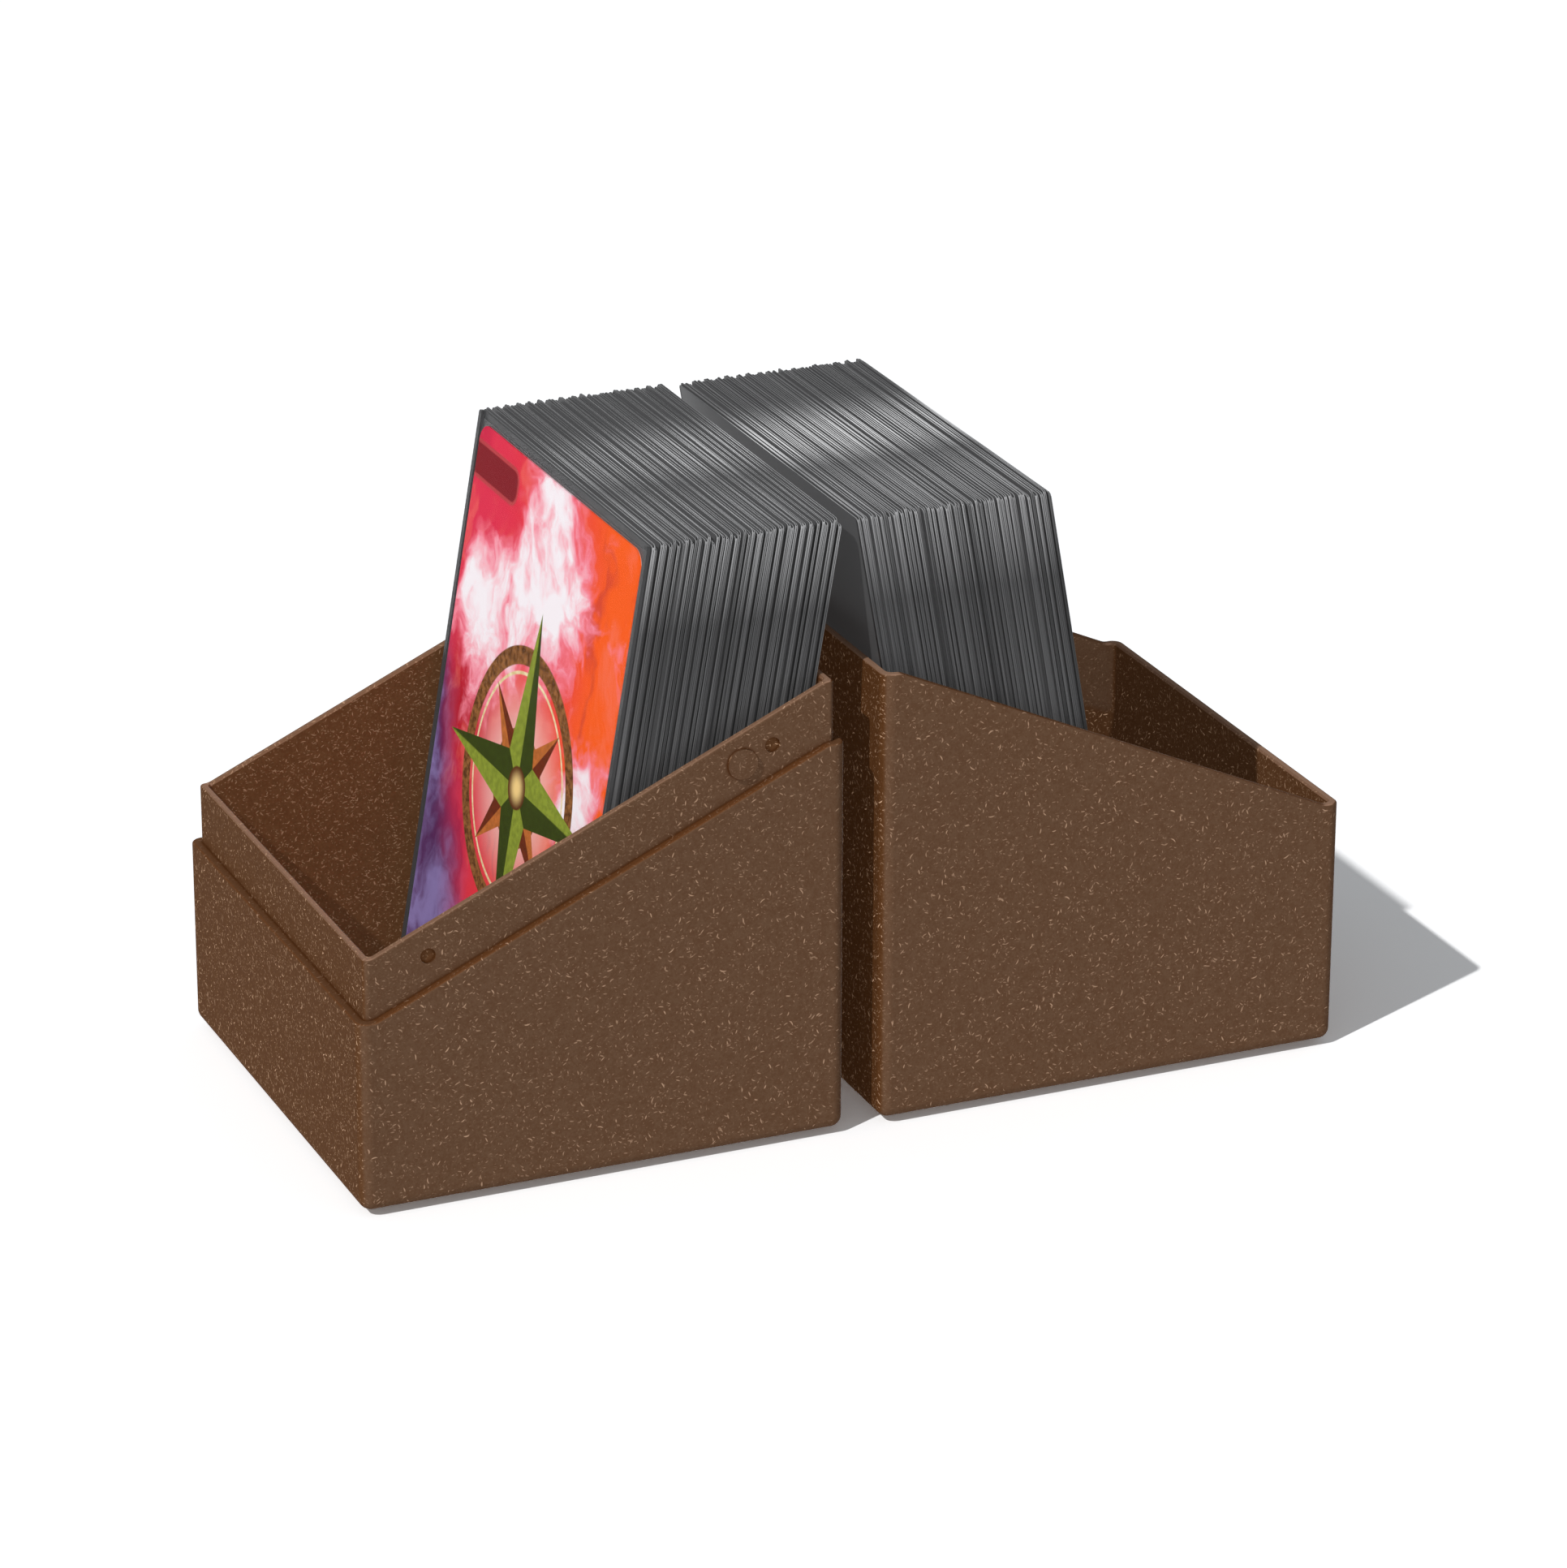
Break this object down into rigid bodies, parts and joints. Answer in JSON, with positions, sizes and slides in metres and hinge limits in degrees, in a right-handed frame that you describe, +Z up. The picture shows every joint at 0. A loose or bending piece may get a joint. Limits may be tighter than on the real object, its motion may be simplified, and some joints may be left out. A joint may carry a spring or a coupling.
{
  "type": "deck box",
  "caption": "Square deck box standing open: slant-rimmed base with an inner lip and catches, its lift-off cover turned over beside it, and a pack of sleeved cards leaning in each half.",
  "frame": {"origin": "on the surface it stands on, under the middle of the set", "axes": "+X from the base towards the cover, +Y from the front to the back, +Z up"},
  "size_m": [0.1546, 0.075, 0.0928],
  "materials": {
    "moulded": "matt brown moulded fibre composite with cream flecks",
    "sleeved_cards": "card stock in matt black sleeves, seen at the sleeves' edges",
    "sleeve_black": "matt black film",
    "sleeve_clear": "clear film",
    "sleeve_inner": "clear film",
    "card_stock": "printed card with an abstract cloud pattern"
  },
  "bodies": {
    "base": {"base_tray": "moulded"},
    "cover": {"cover_shell": "moulded"},
    "base_pack": {"base_cards_02": "sleeved_cards", "base_cards_03": "sleeved_cards", "base_cards_04": "sleeved_cards", "base_cards_05": "sleeved_cards", "base_cards_06": "sleeved_cards", "base_cards_07": "sleeved_cards", "base_cards_08": "sleeved_cards", "base_cards_09": "sleeved_cards"},
    "base_flick": {"base_cards_01": "sleeved_cards"},
    "front_sleeved_card": {"front_sleeve_back": "sleeve_black", "front_sleeve_face": "sleeve_clear", "front_inner_sleeve": "sleeve_inner", "front_card": "card_stock"},
    "cover_pack": {"cover_cards_01": "sleeved_cards", "cover_cards_02": "sleeved_cards", "cover_cards_03": "sleeved_cards", "cover_cards_04": "sleeved_cards", "cover_cards_05": "sleeved_cards", "cover_cards_06": "sleeved_cards", "cover_cards_07": "sleeved_cards", "cover_cards_08": "sleeved_cards"},
    "cover_flick": {"cover_cards_09": "sleeved_cards"}
  },
  "joints": [
    {"name": "cover_lift", "type": "slide", "parent": "base", "child": "cover", "axis": [0, 0, 1], "range_m": [0, 0.1]},
    {"name": "base_pack_lift", "type": "slide", "parent": "base", "child": "base_pack", "axis": [0, 0, 1], "range_m": [0, 0.1]},
    {"name": "base_cards_flick", "type": "hinge", "parent": "base_pack", "child": "base_flick", "pos_m": [-0.04685, 0, 0.00271], "axis": [0, -1, 0], "range_deg": [0, 46]},
    {"name": "front_card_draw", "type": "slide", "parent": "base_flick", "child": "front_sleeved_card", "axis": [0.1676, 0, 0.9859], "range_m": [0, 0.07]},
    {"name": "cover_pack_lift", "type": "slide", "parent": "cover", "child": "cover_pack", "axis": [0, 0, 1], "range_m": [0, 0.1]},
    {"name": "cover_cards_flick", "type": "hinge", "parent": "cover_pack", "child": "cover_flick", "pos_m": [0.04672, 0, 0.00271], "axis": [0, 1, 0], "range_deg": [0, 46]}
  ]
}
